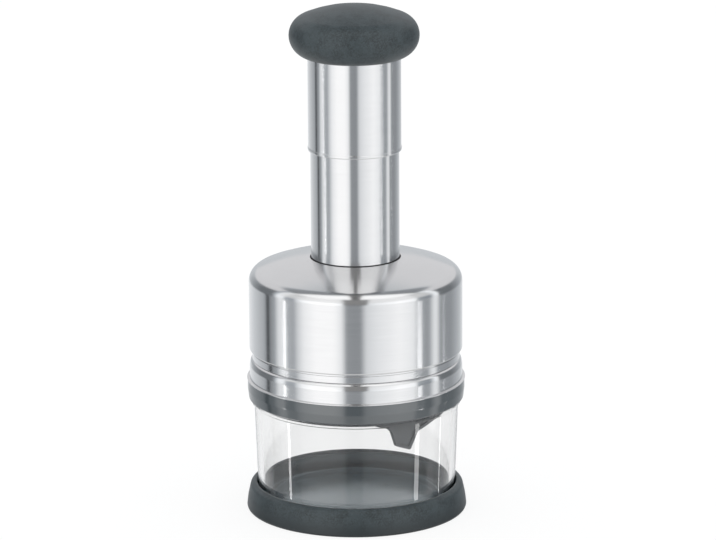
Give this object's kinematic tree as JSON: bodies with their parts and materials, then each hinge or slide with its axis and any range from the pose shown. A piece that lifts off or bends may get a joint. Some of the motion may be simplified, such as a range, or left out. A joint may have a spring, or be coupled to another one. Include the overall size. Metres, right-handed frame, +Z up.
{
  "type": "plunger food chopper",
  "caption": "Hand chopper: a knob on a sliding sleeve presses a zigzag blade through a stripper into a clear chamber on a soft-footed dish, turning it at each press.",
  "frame": {"origin": "centre of the foot ring's underside, on the table", "axes": "+Z up along the plunger's axis, towards the knob; -Y is the front as in the picture"},
  "size_m": [0.1002, 0.1002, 0.2326],
  "materials": {
    "soft_grip": "soft-touch matte",
    "grey_gloss": "gloss",
    "clear_plastic": "clear, polished",
    "dark_plastic": "satin",
    "seal_rubber": "matte",
    "brushed_steel": "brushed round the axis",
    "polished_steel": "polished",
    "blade_steel": "fine ground",
    "spring_steel": "drawn and zinc plated"
  },
  "bodies": {
    "base": {"foot_ring": "soft_grip", "base_dish": "grey_gloss"},
    "chamber": {"container": "clear_plastic"},
    "head": {"collar": "grey_gloss", "collar_pins": "spring_steel", "collar_seal": "seal_rubber", "stripper_retainer": "dark_plastic", "trim_band": "brushed_steel", "neck_ring": "polished_steel", "inner_housing": "dark_plastic", "dome_shell": "brushed_steel", "guide_tube": "brushed_steel", "flange_screws": "spring_steel", "tube_gasket": "seal_rubber", "guide_bush": "dark_plastic", "ratchet_ring": "dark_plastic", "drive_nut": "dark_plastic", "spring_seat": "spring_steel", "main_spring": "spring_steel"},
    "plunger": {"sleeve": "brushed_steel", "knob_core": "dark_plastic", "knob_grip": "soft_grip", "thrust_washer": "dark_plastic", "spring_cap": "spring_steel"},
    "blade_unit": {"drive_rod": "spring_steel", "rod_clip": "spring_steel", "hub_pin": "spring_steel", "bump_washer": "seal_rubber", "blade_carrier": "dark_plastic", "chopping_blade": "blade_steel"},
    "stripper_unit": {"stripper": "dark_plastic"}
  },
  "joints": [
    {"name": "base_lift", "type": "slide", "parent": "base", "child": "chamber", "axis": [0, 0, 1], "range_m": [0, 0.06]},
    {"name": "head_lift", "type": "slide", "parent": "chamber", "child": "head", "axis": [0, 0, 1], "range_m": [0, 0.08]},
    {"name": "plunger_press", "type": "slide", "parent": "head", "child": "plunger", "axis": [0, 0, -1], "range_m": [0, 0.0468], "stiffness_N_per_m": 350, "springref_m": -0.03, "deforming": ["main_spring"]},
    {"name": "blade_turn", "type": "hinge", "parent": "plunger", "child": "blade_unit", "pos_m": [0, 0, 0.1], "axis": [0, 0, 1], "range_deg": [0, 40]},
    {"name": "stripper_turn", "type": "hinge", "parent": "head", "child": "stripper_unit", "pos_m": [0, 0, 0.055], "axis": [0, 0, 1], "range_deg": [0, 40]}
  ],
  "couplings": [
    {"joint": "blade_turn", "follows": "plunger_press", "rad_per_m": 14.917},
    {"joint": "stripper_turn", "follows": "plunger_press", "rad_per_m": 14.917}
  ]
}
